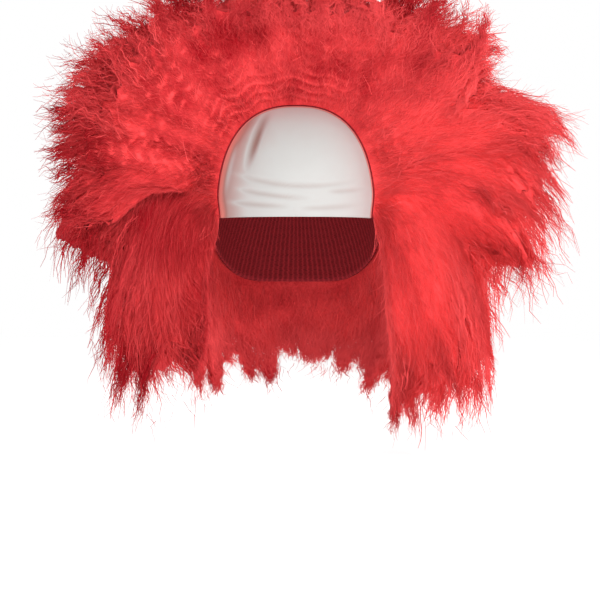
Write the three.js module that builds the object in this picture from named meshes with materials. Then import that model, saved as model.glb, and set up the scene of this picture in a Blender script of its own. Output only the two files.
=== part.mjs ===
// A clown wig as it is worn: a smooth bald front joined along an arched seam to a cap that
// carries a wide mass of crimped hair. Millimetres, +Z up, the front towards -Y, the viewer's
// right towards +X. The origin is the top of the head space, where the cap sits on the head.

import * as THREE from 'three';

// Sizes of the head space that the wig is drawn over
const HEAD_WIDTH = 154;
const HEAD_LENGTH = 194;
const CROWN_HEIGHT = 101; // top of the head space above the brow hem
const HEAD_FULLNESS = 2.4; // 2 is an ellipsoid, more is squarer
const NECK_DEPTH = 170; // how far below the hem the head space would close

// Sizes of the bald front and the cap
const PANEL_WALL = 1.2;
const PANEL_SIDE_ANGLE = 49; // degrees round from the front to the seam's end at the temple
const PANEL_TOP_ANGLE = 74; // degrees up from the front to the seam's top
const SEAM_FULLNESS = 2.45; // squareness of the arched seam seen from the front
const SEAM_TUCK = 2.5; // how far the seam draws in at the hem
const CAP_WALL = 1.6;
const NAPE_DROP = 56; // the cap's rim at the nape below the brow hem
const EAR_ANGLE = 84; // degrees round from the front where the rim starts to drop
const NAPE_ANGLE = 160; // degrees round from the front where the rim is down at the nape
const WHORL_ANGLE = 52; // degrees up from the back where the hair's rings close

// Sizes of the hair
const HAIR_REACH = 225; // from the middle of the hair out to its side
const BACK_REACH = 215; // from the middle of the hair to its back
const HAIR_MIDDLE_DROP = 73; // the middle of the hair below the crown
const FRONT_BED = 0.9; // stitched bed of the wefts on the cap in front, past the clearance
const BACK_BED = 2.2; // the same at the back, where the wefts lie thicker
const VALLEY_SHARE = 0.8; // length between the locks as a share of the lock's length
const LOCK_SPREAD = 0.06; // how much the locks' lengths differ, as a share
const RIDGE_SHARE = 0.06; // how far the locks at an edge bulge, as a share of the way to the whorl
const GAP = 0.3; // clearance between neighbouring pieces
const SLANT = 1.7; // widens a clearance that is set along the cap, since the hair's sides slant

// Steps of the faceted surfaces
const SIDE_LOCKS = 14; // locks on each side, from the top of the seam to the nape
const SIDE_COLUMNS = 2 * SIDE_LOCKS;
const WALL_STEPS = 4;
const PANEL_ROWS = 11;
const CAP_ROWS = 9;
const NEARBY = 0.02; // small step along the cap that gives a direction
const FLANK = { spread: 0.45, rise: 0.4 }; // where a lock's side bends in towards its tip

const FRONT_COLOUR = 0xdfddda;
const CAP_COLOUR = 0xb52d35;
const HAIR_COLOURS = { top: 0xd2373b, side: 0xe0403f, fall: 0xc43338, back: 0xb82f36 };

// The edge of the cap from the top of the seam (share 0) round one side to the nape (share 1).
// root runs 0 to 90 along the seam and 90 to 180 along the rim. roll and pitch point the locks'
// tips: roll from straight up round to straight down, pitch from the front round to the back.
// lift is how much a lock stands off the head before it bends.
const EDGE = [
  { share: 0.0, root: 0, roll: 0, pitch: 66, lift: 0.9 },
  { share: 0.15, root: 28, roll: 32, pitch: 66, lift: 0.85 },
  { share: 0.3, root: 50, roll: 63, pitch: 65, lift: 0.7 },
  { share: 0.45, root: 66, roll: 95, pitch: 65, lift: 0.55 },
  { share: 0.6, root: 79, roll: 127, pitch: 66, lift: 0.36 },
  { share: 0.75, root: 90, roll: 156, pitch: 71, lift: 0.12 },
  { share: 0.8, root: 107, roll: 157, pitch: 84, lift: 0.1 },
  { share: 0.86, root: 126, roll: 159, pitch: 98, lift: 0.12 },
  { share: 0.92, root: 147, roll: 163, pitch: 110, lift: 0.16 },
  { share: 1.0, root: 180, roll: 180, pitch: 120, lift: 0.2 },
];

// The hair's outline from the front: reach as a share of HAIR_REACH at each roll angle
const OUTLINE = [
  { roll: -180, reach: 0.85 },
  { roll: -166, reach: 0.87 },
  { roll: -158, reach: 0.93 },
  { roll: -150, reach: 1.1 },
  { roll: -140, reach: 1.14 },
  { roll: -130, reach: 1.06 },
  { roll: -120, reach: 0.93 },
  { roll: -110, reach: 0.96 },
  { roll: -100, reach: 1.05 },
  { roll: -90, reach: 1.0 },
  { roll: -75, reach: 1.03 },
  { roll: -60, reach: 1.06 },
  { roll: -50, reach: 1.05 },
  { roll: -40, reach: 1.0 },
  { roll: -20, reach: 0.9 },
  { roll: 0, reach: 0.87 },
  { roll: 20, reach: 0.9 },
  { roll: 40, reach: 0.98 },
  { roll: 52, reach: 1.05 },
  { roll: 64, reach: 0.97 },
  { roll: 77, reach: 1.13 },
  { roll: 88, reach: 1.06 },
  { roll: 100, reach: 1.1 },
  { roll: 111, reach: 1.1 },
  { roll: 120, reach: 0.97 },
  { roll: 130, reach: 1.05 },
  { roll: 140, reach: 1.19 },
  { roll: 150, reach: 1.14 },
  { roll: 160, reach: 0.93 },
  { roll: 180, reach: 0.85 },
];

// Crease and wrinkles of the bald front: both ends as shares of its half width and height,
// depth and half width as shares of its wall
const FOLDS = [
  { x0: -0.38, z0: 0.92, x1: -0.6, z1: 0.5, depth: 1.4, breadth: 4.5 },
  { x0: -0.68, z0: 0.34, x1: -0.08, z1: 0.28, depth: 0.7, breadth: 3.5 },
  { x0: -0.8, z0: 0.15, x1: -0.16, z1: 0.1, depth: 0.6, breadth: 3.5 },
  { x0: 0.06, z0: 0.09, x1: 0.85, z1: 0.2, depth: 0.6, breadth: 3.5 },
];

// Rings of locks from the cap's edge (0) to the whorl (1), with the columns that one lock takes
const RINGS = [
  { start: 0.0, span: 2 },
  { start: 0.12, span: 2 },
  { start: 0.25, span: 2 },
  { start: 0.38, span: 2 },
  { start: 0.52, span: 2 },
  { start: 0.66, span: 4 },
  { start: 0.82, span: 8 },
];

// The hair's pieces: where each starts and ends round the edge, as shares of a side from the
// top of the seam to the nape, negative at the left, with its first ring and the ring after its last
const HAIR_PIECES = [
  { name: 'front_hair', start: -0.5, end: 0.5, inner: 0, outer: 1, colour: 'top' },
  { name: 'top_hair', start: -0.29, end: 0.29, inner: 1, outer: 4, colour: 'top' },
  { name: 'left_hair', start: -0.5, end: -0.29, inner: 1, outer: 4, colour: 'side' },
  { name: 'right_hair', start: 0.29, end: 0.5, inner: 1, outer: 4, colour: 'side' },
  { name: 'left_fall_hair', start: -0.86, end: -0.5, inner: 0, outer: 4, colour: 'fall' },
  { name: 'right_fall_hair', start: 0.5, end: 0.86, inner: 0, outer: 4, colour: 'fall' },
  { name: 'nape_hair', start: 0.86, end: -0.86, inner: 0, outer: 4, colour: 'back' },
  { name: 'back_hair', start: -1, end: 1, inner: 4, outer: 7, colour: 'back' },
];

const radians = THREE.MathUtils.degToRad;
const smooth = THREE.MathUtils.smoothstep;
const lerp = THREE.MathUtils.lerp;
const vector = (x, y, z) => new THREE.Vector3(x, y, z);

const HEAD_MIDDLE = vector(0, 0, -CROWN_HEIGHT);
const HAIR_MIDDLE = vector(0, 0, -HAIR_MIDDLE_DROP);
const WHORL = vector(0, Math.cos(radians(WHORL_ANGLE)), Math.sin(radians(WHORL_ANGLE)));

// Smooth reading of a table: key names the column that is looked up, others are interpolated
function reader(table, key, columns) {
  const places = table.map((row) => row[key]);
  const values = table.flatMap((row) => columns.map((column) => row[column]));
  const curve = new THREE.CubicInterpolant(places, values, columns.length);
  return (place) => {
    const result = curve.evaluate(place);
    return Object.fromEntries(columns.map((column, index) => [column, result[index]]));
  };
}
const edgeAt = reader(EDGE, 'share', ['root', 'roll', 'pitch', 'lift']);
const outlineAt = reader(OUTLINE, 'roll', ['reach']);

// The head space: a rounded body, closed at the crown and drawn out below the hem
function headShares(direction) {
  const height = direction.z > 0 ? CROWN_HEIGHT : NECK_DEPTH;
  return vector(
    Math.abs(direction.x) / (HEAD_WIDTH / 2),
    Math.abs(direction.y) / (HEAD_LENGTH / 2),
    Math.abs(direction.z) / height,
  );
}

function headPoint(direction, offset) {
  const share = headShares(direction);
  const power = HEAD_FULLNESS;
  const sum = share.x ** power + share.y ** power + share.z ** power;
  const point = direction.clone().multiplyScalar(sum ** (-1 / power));
  return point.addScaledVector(headNormal(direction), offset).add(HEAD_MIDDLE);
}

function headNormal(direction) {
  const share = headShares(direction);
  const height = direction.z > 0 ? CROWN_HEIGHT : NECK_DEPTH;
  return vector(
    (Math.sign(direction.x) * share.x ** (HEAD_FULLNESS - 1)) / (HEAD_WIDTH / 2),
    (Math.sign(direction.y) * share.y ** (HEAD_FULLNESS - 1)) / (HEAD_LENGTH / 2),
    (Math.sign(direction.z) * share.z ** (HEAD_FULLNESS - 1)) / height,
  ).normalize();
}

// Half width and height of the bald front where the seam meets the head
function panelSize() {
  const side = radians(PANEL_SIDE_ANGLE);
  const top = radians(PANEL_TOP_ANGLE);
  const temple = headPoint(vector(Math.sin(side), -Math.cos(side), 0), 0);
  const peak = headPoint(vector(0, -Math.cos(top), Math.sin(top)), 0);
  return { halfWidth: temple.x, height: peak.z + CROWN_HEIGHT };
}
const PANEL = panelSize();

// Point on the head under a place on the bald front, seen from the front
function frontDirection(x, z) {
  const side = Math.abs(x) / (HEAD_WIDTH / 2);
  const up = z / CROWN_HEIGHT;
  const rest = Math.max(1 - side ** HEAD_FULLNESS - up ** HEAD_FULLNESS, 0);
  return vector(x, (-HEAD_LENGTH / 2) * rest ** (1 / HEAD_FULLNESS), z).normalize();
}

// Place on the seam seen from the front, at degrees from the top of the arch
function seamPlace(angle) {
  const across = Math.sin(radians(angle));
  const up = Math.cos(radians(angle));
  const sum =
    (Math.abs(across) / PANEL.halfWidth) ** SEAM_FULLNESS +
    (Math.abs(up) / PANEL.height) ** SEAM_FULLNESS;
  const reach = sum ** (-1 / SEAM_FULLNESS);
  const tuck = 1 - (SEAM_TUCK / PANEL.halfWidth) * smooth(Math.abs(angle), 70, 90);
  return { x: across * reach * tuck, z: Math.max(up, 0) * reach };
}

// Direction from the head's middle to the rim, at degrees round from the front
function rimDirection(angle) {
  const turn = radians(angle);
  const level = headPoint(vector(Math.sin(turn), -Math.cos(turn), 0), 0);
  const drop = NAPE_DROP * smooth(angle, EAR_ANGLE, NAPE_ANGLE);
  return vector(level.x, level.y, -drop).normalize();
}

// Direction from the head's middle to the cap's edge; side is -1 at the left, 1 at the right
function edgeDirection(root, side) {
  if (root <= 90) {
    const place = seamPlace(root);
    const direction = frontDirection(place.x, place.z);
    direction.x *= side;
    return direction;
  }
  const temple = frontDirection(seamPlace(90).x, 0);
  const start = THREE.MathUtils.radToDeg(Math.atan2(temple.x, -temple.y));
  const direction = rimDirection(lerp(start, 180, (root - 90) / 90));
  direction.x *= side;
  return direction;
}

// Turns one direction towards another by a share of the angle between them
function swing(start, end, share) {
  const angle = start.angleTo(end);
  const result = start.clone().multiplyScalar(Math.sin((1 - share) * angle));
  return result.addScaledVector(end, Math.sin(share * angle)).normalize();
}

// Column numbers run from the top of the seam to the nape, negative at the left
function wrapColumn(column) {
  return THREE.MathUtils.euclideanModulo(column + SIDE_COLUMNS, 2 * SIDE_COLUMNS) - SIDE_COLUMNS;
}

function columnPlace(column) {
  const wrapped = wrapColumn(column);
  return { side: wrapped < 0 ? -1 : 1, edge: edgeAt(Math.abs(wrapped) / SIDE_COLUMNS) };
}

function rootDirection(column, ring) {
  const { side, edge } = columnPlace(column);
  return swing(edgeDirection(edge.root, side), WHORL, ring);
}

// Tip of the hair: on the outline seen from the front, rounded off to the back
function tipPoint(column, ring) {
  const { side, edge } = columnPlace(column);
  const roll = radians(edge.roll);
  const pitch = radians(edge.pitch);
  const start = vector(
    side * Math.sin(pitch) * Math.sin(roll),
    -Math.cos(pitch),
    Math.sin(pitch) * Math.cos(roll),
  );
  const direction = swing(start, WHORL, ring);
  const turn = THREE.MathUtils.radToDeg(Math.atan2(direction.x, direction.z));
  const back = smooth(direction.y, 0, 1);
  const reach = lerp(HAIR_REACH * outlineAt(turn).reach, BACK_REACH, back);
  return direction.multiplyScalar(reach).add(HAIR_MIDDLE);
}

// Point along a lock: it leaves the cap, then bends towards its tip
function hairPoint(column, ring, length) {
  const direction = rootDirection(column, ring);
  const bed = lerp(FRONT_BED, BACK_BED, smooth(direction.y, -0.3, 0.3));
  const root = headPoint(direction, CAP_WALL + GAP + bed);
  const tip = tipPoint(column, ring);
  const way = tip.clone().sub(root);
  const lift = lerp(columnPlace(column).edge.lift, 0.8, smooth(ring, 0, 0.4));
  const start = headNormal(direction).multiplyScalar(lift * way.length());
  const bend = root.clone().addScaledVector(start.addScaledVector(way, 1 - lift), 0.5);
  const rest = 1 - length;
  return root
    .multiplyScalar(rest * rest)
    .addScaledVector(bend, 2 * rest * length)
    .addScaledVector(tip, length * length);
}

// Even variation between -1 and 1 from lock to lock
const vary = (column, ring, kind) => Math.sin(wrapColumn(column) * 2.4 + ring * 17 + kind * 1.3);

// Gathers vertices by name, so that faces share them, and turns them into one mesh
class Surface {
  constructor() {
    this.points = [];
    this.faces = [];
    this.names = new Map();
  }

  vertex(name, make) {
    if (!this.names.has(name)) {
      this.names.set(name, this.points.length / 3);
      this.points.push(...make().toArray());
    }
    return this.names.get(name);
  }

  quad(a, b, c, d) {
    this.faces.push(a, b, c, a, c, d);
  }

  fan(middle, loop) {
    loop.forEach((index, place) => this.faces.push(middle, index, loop[(place + 1) % loop.length]));
  }

  geometry() {
    const geometry = new THREE.BufferGeometry();
    geometry.setAttribute('position', new THREE.Float32BufferAttribute(this.points, 3));
    geometry.setIndex(this.faces);
    geometry.computeVertexNormals();
    return geometry;
  }
}

function addMesh(group, name, geometry, colour, roughness) {
  const material = new THREE.MeshStandardMaterial({ color: colour, roughness, metalness: 0 });
  const mesh = new THREE.Mesh(geometry, material);
  mesh.name = name;
  group.add(mesh);
}

// Depth of the creases and wrinkles at a place on the bald front
function foldDepth(x, z) {
  let depth = 0;
  for (const fold of FOLDS) {
    const start = vector(fold.x0 * PANEL.halfWidth, 0, fold.z0 * PANEL.height);
    const end = vector(fold.x1 * PANEL.halfWidth, 0, fold.z1 * PANEL.height);
    const nearest = new THREE.Line3(start, end).closestPointToPoint(vector(x, 0, z), true, vector());
    const away = nearest.distanceTo(vector(x, 0, z)) / (fold.breadth * PANEL_WALL);
    depth += fold.depth * PANEL_WALL * Math.exp(-away * away);
  }
  return depth;
}

// Bald front: one thin wall between the brow hem and the arched seam
function foreheadPanel() {
  const surface = new Surface();
  const templeShare = EDGE.find((row) => row.root === 90).share;
  const temple = Math.round(templeShare * SIDE_COLUMNS);
  const place = (column, row, layer) =>
    surface.vertex(row === 0 ? `middle ${layer}` : `${column} ${row} ${layer}`, () => {
      const { side, edge } = columnPlace(column);
      const seam = seamPlace(Math.abs(column) === temple ? side * 90 : side * edge.root);
      const share = row / PANEL_ROWS;
      const direction = frontDirection(seam.x * share, seam.z * share);
      const inset = foldDepth(seam.x * share, seam.z * share) * (1 - share ** 6);
      return headPoint(direction, layer * PANEL_WALL - inset);
    });
  for (let column = -temple; column < temple; column++) {
    for (let row = 0; row < PANEL_ROWS; row++) {
      const outer = [[0, 0], [1, 0], [1, 1], [0, 1]].map(([c, r]) => place(column + c, row + r, 1));
      const inner = [[0, 0], [0, 1], [1, 1], [1, 0]].map(([c, r]) => place(column + c, row + r, 0));
      if (row === 0) {
        surface.faces.push(outer[0], outer[2], outer[3], inner[0], inner[1], inner[2]);
      } else {
        surface.quad(...outer);
        surface.quad(...inner);
      }
    }
    const seam = PANEL_ROWS;
    surface.quad(
      place(column, seam, 1),
      place(column + 1, seam, 1),
      place(column + 1, seam, 0),
      place(column, seam, 0),
    );
  }
  for (let row = 0; row < PANEL_ROWS; row++) {
    const above = row + 1;
    const [left, right] = [-temple, temple];
    surface.quad(place(left, row, 0), place(left, row, 1), place(left, above, 1), place(left, above, 0));
    surface.quad(place(right, row, 1), place(right, row, 0), place(right, above, 0), place(right, above, 1));
  }
  return surface.geometry();
}

// Cap: one thin wall from the seam and the rim back to the whorl
function weftCap() {
  const surface = new Surface();
  const columns = 2 * SIDE_COLUMNS;
  const place = (column, row, layer) => {
    const wrapped = column % columns;
    return surface.vertex(row === CAP_ROWS ? `whorl ${layer}` : `${wrapped} ${row} ${layer}`, () => {
      const ring = row / CAP_ROWS;
      const point = headPoint(rootDirection(wrapped - SIDE_COLUMNS, ring), layer * CAP_WALL);
      if (row > 0) return point;
      const inward = rootDirection(wrapped - SIDE_COLUMNS, NEARBY);
      const way = headPoint(inward, layer * CAP_WALL).sub(point).normalize();
      return point.addScaledVector(way, GAP * SLANT);
    });
  };
  for (let column = 0; column < columns; column++) {
    const next = column + 1;
    for (let row = 0; row < CAP_ROWS - 1; row++) {
      const above = row + 1;
      const corners = [[column, row], [next, row], [next, above], [column, above]];
      surface.quad(...corners.map(([c, r]) => place(c, r, 1)));
      surface.quad(...corners.reverse().map(([c, r]) => place(c, r, 0)));
    }
    const last = CAP_ROWS - 1;
    surface.faces.push(place(column, last, 1), place(next, last, 1), place(column, CAP_ROWS, 1));
    surface.faces.push(place(column, last, 0), place(column, CAP_ROWS, 0), place(next, last, 0));
    surface.quad(place(column, 0, 0), place(next, 0, 0), place(next, 0, 1), place(column, 0, 1));
  }
  return surface.geometry();
}

// First and last column of a piece, on whole locks; a piece across the nape runs past it
function pieceColumns(piece) {
  const column = (share) => 2 * Math.sign(share) * Math.round(Math.abs(share) * SIDE_LOCKS);
  const [from, to] = [column(piece.start), column(piece.end)];
  return { from, to: to > from ? to : to + 2 * SIDE_COLUMNS };
}

// Columns where the locks of one ring start and end, staggered from ring to ring
function lockColumns(from, to, ring, closed) {
  const span = RINGS[ring].span;
  const cuts = [];
  for (let column = from; column < to; column += span) cuts.push(column);
  if (ring % 2 === 0) return [...cuts, to];
  const shifted = cuts.map((column) => column + span / 2);
  return closed ? [...shifted, shifted[0] + to - from] : [from, ...shifted, to];
}

// Columns between the corners along the line where a ring starts
const lineStep = (ring) => Math.max(1, (RINGS[ring]?.span ?? 0) / 4);

// Rows count half rings: even rows lie between rings, odd ones run through the locks' middles
function rowPlace(row) {
  const ring = Math.floor(row / 2);
  const start = ring < RINGS.length ? RINGS[ring].start : 1;
  const end = ring + 1 < RINGS.length ? RINGS[ring + 1].start : 1;
  return row % 2 === 0 ? start : (start + end) / 2;
}

// One piece of hair: locks that stand on a backing which follows the cap
function hairPiece(piece) {
  const surface = new Surface();
  const { from, to } = pieceColumns(piece);
  const closed = to - from === 2 * SIDE_COLUMNS;
  const firstRow = 2 * piece.inner;
  const lastRow = 2 * piece.outer;
  const whorlRow = 2 * RINGS.length;
  const wrap = (column) => (closed && column >= to ? column - 2 * SIDE_COLUMNS : column);

  // A point between the locks, pulled in at the piece's edge to keep clear of its neighbour
  const clearPoint = (column, row, length) => {
    const ring = rowPlace(row);
    const bulge = row === 0 && column % 2 !== 0 ? RIDGE_SHARE * Math.sin(Math.PI * length) : 0;
    const point = hairPoint(column, ring - bulge, length);
    const targets = [];
    if (!closed && column === from) targets.push(hairPoint(column + NEARBY, ring, length));
    if (!closed && column === to) targets.push(hairPoint(column - NEARBY, ring, length));
    if (row === firstRow) targets.push(hairPoint(column, ring + NEARBY, length));
    if (row === lastRow && row < whorlRow) targets.push(hairPoint(column, ring - NEARBY, length));
    const ways = targets.map((target) => target.sub(hairPoint(column, ring, length)).normalize());
    ways.forEach((way) => point.addScaledVector(way, (GAP / 2) * SLANT));
    return point;
  };
  const valleyVertex = (column, row, step) => {
    const place = wrap(column);
    const valley = VALLEY_SHARE * (1 + (LOCK_SPREAD / 2) * vary(place, row, 0));
    const length = (valley * step) / WALL_STEPS;
    const name = row === whorlRow ? `whorl ${step}` : `${place} ${row} ${step}`;
    return surface.vertex(name, () => clearPoint(place, row, length));
  };

  // Corners and middles of the sides of a lock's foot, counter-clockwise from outside
  const footPlaces = (start, end, ring) => {
    const [low, high] = [2 * ring, 2 * ring + 2];
    const places = [];
    for (let column = start; column < end; column += lineStep(ring)) places.push([column, low]);
    places.push([end, low], [end, low + 1]);
    if (high === whorlRow) return [...places, [end, high], [start, low + 1]];
    for (let column = end; column > start; column -= lineStep(ring + 1)) places.push([column, high]);
    return [...places, [start, high], [start, low + 1]];
  };

  const addLock = (start, end, ring, lock) => {
    const foot = footPlaces(start, end, ring);
    const middle = (start + end) / 2;
    const centre = rowPlace(2 * ring + 1);
    const length = 1 + LOCK_SPREAD * vary(middle, ring, 1);
    const hook = { column: 0.5 * vary(middle, ring, 2), ring: 0.02 * vary(middle, ring, 3) };
    const tip = surface.vertex(`tip ${lock} ${ring}`, () =>
      hairPoint(middle + hook.column, centre + hook.ring, length),
    );
    const flank = foot.map(([column, row], index) =>
      surface.vertex(`flank ${lock} ${ring} ${index}`, () =>
        hairPoint(
          lerp(middle, column, FLANK.spread),
          lerp(centre, rowPlace(row), FLANK.spread),
          lerp(VALLEY_SHARE, length, FLANK.rise),
        ),
      ),
    );
    const border = foot.map(([column, row]) => valleyVertex(column, row, WALL_STEPS));
    border.forEach((index, place) => {
      const next = (place + 1) % border.length;
      surface.quad(index, border[next], flank[next], flank[place]);
    });
    surface.fan(tip, flank);
    const root = surface.vertex(`root ${lock} ${ring}`, () => hairPoint(middle, centre, 0));
    surface.fan(root, foot.map(([column, row]) => valleyVertex(column, row, 0)).reverse());
  };
  for (let ring = piece.inner; ring < piece.outer; ring++) {
    const cuts = lockColumns(from, to, ring, closed);
    for (let lock = 0; lock + 1 < cuts.length; lock++) addLock(cuts[lock], cuts[lock + 1], ring, lock);
  }

  // Walls round the piece, from the cap out to the locks. Both pieces at a gap split each
  // face along the same diagonal, from its first corner, so that they stay clear.
  const addWall = (first, second, forward) => {
    for (let step = 0; step < WALL_STEPS; step++) {
      const a = valleyVertex(...first, step);
      const b = valleyVertex(...second, step);
      const c = valleyVertex(...second, step + 1);
      const d = valleyVertex(...first, step + 1);
      if (forward) surface.quad(a, b, c, d);
      else surface.quad(a, d, c, b);
    }
  };
  for (let column = from; column < to; column++) {
    addWall([column, firstRow], [column + 1, firstRow], true);
    if (lastRow < whorlRow) addWall([column, lastRow], [column + 1, lastRow], false);
  }
  for (let row = firstRow; !closed && row < lastRow; row++) {
    addWall([from, row], [from, row + 1], false);
    addWall([to, row], [to, row + 1], true);
  }
  return surface.geometry();
}

const wig = new THREE.Group();
wig.name = 'clown_wig';
addMesh(wig, 'forehead_panel', foreheadPanel(), FRONT_COLOUR, 0.55);
addMesh(wig, 'weft_cap', weftCap(), CAP_COLOUR, 0.9);
for (const piece of HAIR_PIECES) {
  addMesh(wig, piece.name, hairPiece(piece), HAIR_COLOURS[piece.colour], 0.6);
}

export default wig;
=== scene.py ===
import math

import bmesh
import bpy
import numpy as np
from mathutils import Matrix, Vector


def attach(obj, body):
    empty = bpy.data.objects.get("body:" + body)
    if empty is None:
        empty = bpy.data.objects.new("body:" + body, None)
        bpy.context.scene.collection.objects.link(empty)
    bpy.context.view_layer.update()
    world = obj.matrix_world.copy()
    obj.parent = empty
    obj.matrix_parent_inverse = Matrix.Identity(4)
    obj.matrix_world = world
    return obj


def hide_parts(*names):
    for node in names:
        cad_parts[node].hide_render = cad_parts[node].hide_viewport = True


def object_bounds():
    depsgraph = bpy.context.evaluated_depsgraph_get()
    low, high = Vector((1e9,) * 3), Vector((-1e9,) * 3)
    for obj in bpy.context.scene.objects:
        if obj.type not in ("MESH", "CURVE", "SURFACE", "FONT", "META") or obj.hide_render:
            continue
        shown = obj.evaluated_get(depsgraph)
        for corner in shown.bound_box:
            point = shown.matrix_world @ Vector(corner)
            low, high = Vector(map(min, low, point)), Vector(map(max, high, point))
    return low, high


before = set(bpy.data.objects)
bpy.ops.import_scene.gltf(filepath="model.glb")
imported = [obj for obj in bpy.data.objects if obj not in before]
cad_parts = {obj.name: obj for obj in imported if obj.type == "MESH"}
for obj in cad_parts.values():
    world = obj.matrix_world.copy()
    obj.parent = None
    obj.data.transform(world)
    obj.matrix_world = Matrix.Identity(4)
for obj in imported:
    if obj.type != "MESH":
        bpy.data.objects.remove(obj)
cad_box = [list(corner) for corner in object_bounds()]

# The view: the wig straight from the front, 2 m away and some 7 cm below its brow hem. Plain
# soft studio light comes from softboxes in front, at both sides and behind, in a white room
# with a plain pale floor.
VIEW_ACROSS = 0.0036
VIEW_DISTANCE = 2.1
VIEW_HEIGHT = -0.1725
LIGHT_AIM = Vector((0, 0, -0.08))
ROOM_LIGHT = 0.36
ROOM_WHITE = 1.0
FLOOR_DROP = 0.012
FLOOR_REACH = 8
view_data = bpy.data.cameras.new("front_view")
view_data.lens = 140
view_data.sensor_width = 36
view_data.clip_end = 50
front_view = bpy.data.objects.new("front_view", view_data)
front_view.location = (VIEW_ACROSS, -VIEW_DISTANCE, VIEW_HEIGHT)
front_view.rotation_euler = (math.radians(90), 0, 0)
bpy.context.collection.objects.link(front_view)
bpy.context.scene.camera = front_view
bpy.context.scene.view_settings.view_transform = "Standard"


def add_soft_light(name, place, size, power, colour):
    light_data = bpy.data.lights.new(name, "AREA")
    light_data.shape = "DISK"
    light_data.size = size
    light_data.energy = power
    light_data.color = colour
    light = bpy.data.objects.new(name, light_data)
    light.location = place
    way = LIGHT_AIM - Vector(place)
    light.rotation_euler = way.to_track_quat("-Z", "Y").to_euler()
    bpy.context.collection.objects.link(light)


add_soft_light("front_softbox", (0.55, -2.2, 0.95), 1.1, 36, (1.0, 0.98, 0.96))
add_soft_light("left_softbox", (-1.8, -1.5, 0.5), 1.2, 7, (1.0, 0.98, 0.97))
add_soft_light("right_softbox", (1.9, -0.9, 0.3), 1.0, 9, (1.0, 0.98, 0.97))
add_soft_light("back_softbox", (-0.5, 1.7, 1.1), 1.2, 9, (1.0, 0.99, 0.98))

def set_inputs(node, **values):
    """Gives the inputs of a node their values. In a name, _ stands for a space."""
    for name, value in values.items():
        node.inputs[name.replace("_", " ")].default_value = value
    return node


def add_node(tree, kind, **values):
    """A new shader node with the values of its inputs."""
    return set_inputs(tree.nodes.new("ShaderNode" + kind), **values)


def connect(source, output, target, entry):
    """Links an output of one node to an input of another."""
    source.id_data.links.new(source.outputs[output], target.inputs[entry])


def new_finish(name, **values):
    """A new material with the values of its shader's inputs."""
    finish = bpy.data.materials.new(name)
    finish.use_nodes = True
    set_inputs(finish.node_tree.nodes["Principled BSDF"], **values)
    return finish


# White room: it shows white behind the wig, and lights it more softly than it looks
studio = bpy.data.worlds.new("studio")
studio.use_nodes = True
room = set_inputs(studio.node_tree.nodes["Background"], Color=(1, 1, 1, 1))
seen = add_node(studio.node_tree, "LightPath")
glow = add_node(studio.node_tree, "MapRange", To_Min=ROOM_LIGHT, To_Max=ROOM_WHITE)
connect(seen, "Is Camera Ray", glow, "Value")
connect(glow, "Result", room, "Strength")
bpy.context.scene.world = studio

floor_height = cad_box[0][2] - FLOOR_DROP
floor_signs = ((-1, -1), (1, -1), (1, 1), (-1, 1))
floor_corners = [(x * FLOOR_REACH, y * FLOOR_REACH, floor_height) for x, y in floor_signs]
floor_data = bpy.data.meshes.new("floor")
floor_data.from_pydata(floor_corners, [], [(0, 1, 2, 3)])
floor = bpy.data.objects.new("floor", floor_data)
bpy.context.collection.objects.link(floor)
floor_white = new_finish(
    "floor_white",
    Base_Color=(0.8, 0.8, 0.8, 1),
    Emission_Color=(1, 1, 1, 1),
    Emission_Strength=0.7,
    Roughness=0.9,
)
floor_data.materials.append(floor_white)


# Bald front: one thin wall of white stretch cloth, drawn tight from the brow hem up to an
# arched seam, where it is turned under and sewn to the cap. A soft crease stands at its left,
# with a short one beside it, and shallow wrinkles lie over the hem.
# The space for the head: 2 is an ellipsoid, and a larger fullness is squarer
HEAD_WIDTH = 0.154
HEAD_LENGTH = 0.194
CROWN_HEIGHT = 0.101
NECK_DEPTH = 0.170
HEAD_FULLNESS = 2.4
HEAD_MIDDLE = np.array((0.0, 0.0, -CROWN_HEIGHT))
# The wall, the seam's end at the side and its top in degrees from the front, and its form
PANEL_WALL = 0.0012
PANEL_SIDE_ANGLE = math.radians(49)
PANEL_TOP_ANGLE = math.radians(74)
SEAM_FULLNESS = 2.45
SEAM_TUCK = 0.0025
SEAM_RAISE = 0.00045
SEAM_ROUNDING = 0.0008
PANEL_ANGLES = 125
PANEL_ROWS = 56
EDGE_TURNS = 6
CLOTH_WHITE = (0.50, 0.50, 0.492, 1)
# Painted: shade at the foot of a fold, shade with red light from the hair, and that red light
CLOTH_SHADED = (0.29, 0.17, 0.15, 1)
CLOTH_PAINTED_SHADE_AND_RED_LIGHT = (0.41, 0.215, 0.19, 1)
CLOTH_PAINTED_RED_LIGHT = (0.80, 0.24, 0.20, 1)
# Both ends as shares of the half width and the height, then bow, depth and breadth in metres
FOLDS = [
    (-0.24, 1.16, -0.66, 0.34, 0.0026, 0.0038, 0.0036),
    (-0.98, 0.44, 0.99, 0.37, 0.0135, 0.0008, 0.0021),
    (-0.86, 0.27, 0.30, 0.16, 0.0030, 0.0009, 0.0019),
    (-0.98, 0.15, 0.02, 0.09, 0.0014, 0.0009, 0.0021),
    (-0.04, 0.07, 0.98, 0.13, 0.0016, 0.0006, 0.0022),
    (0.36, 0.22, 0.99, 0.27, 0.0012, 0.0007, 0.0019),
    (-0.74, 0.74, -0.95, 0.10, 0.0010, 0.0016, 0.0024),
]


def unit(vectors):
    return vectors / np.maximum(np.linalg.norm(vectors, axis=-1, keepdims=True), 1e-9)


def smoothstep(values, low, high):
    share = np.clip((values - low) / (high - low), 0, 1)
    return share * share * (3 - 2 * share)


def stack(x, y, z):
    return np.stack(np.broadcast_arrays(x, y, z), axis=-1).astype(float)


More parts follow.
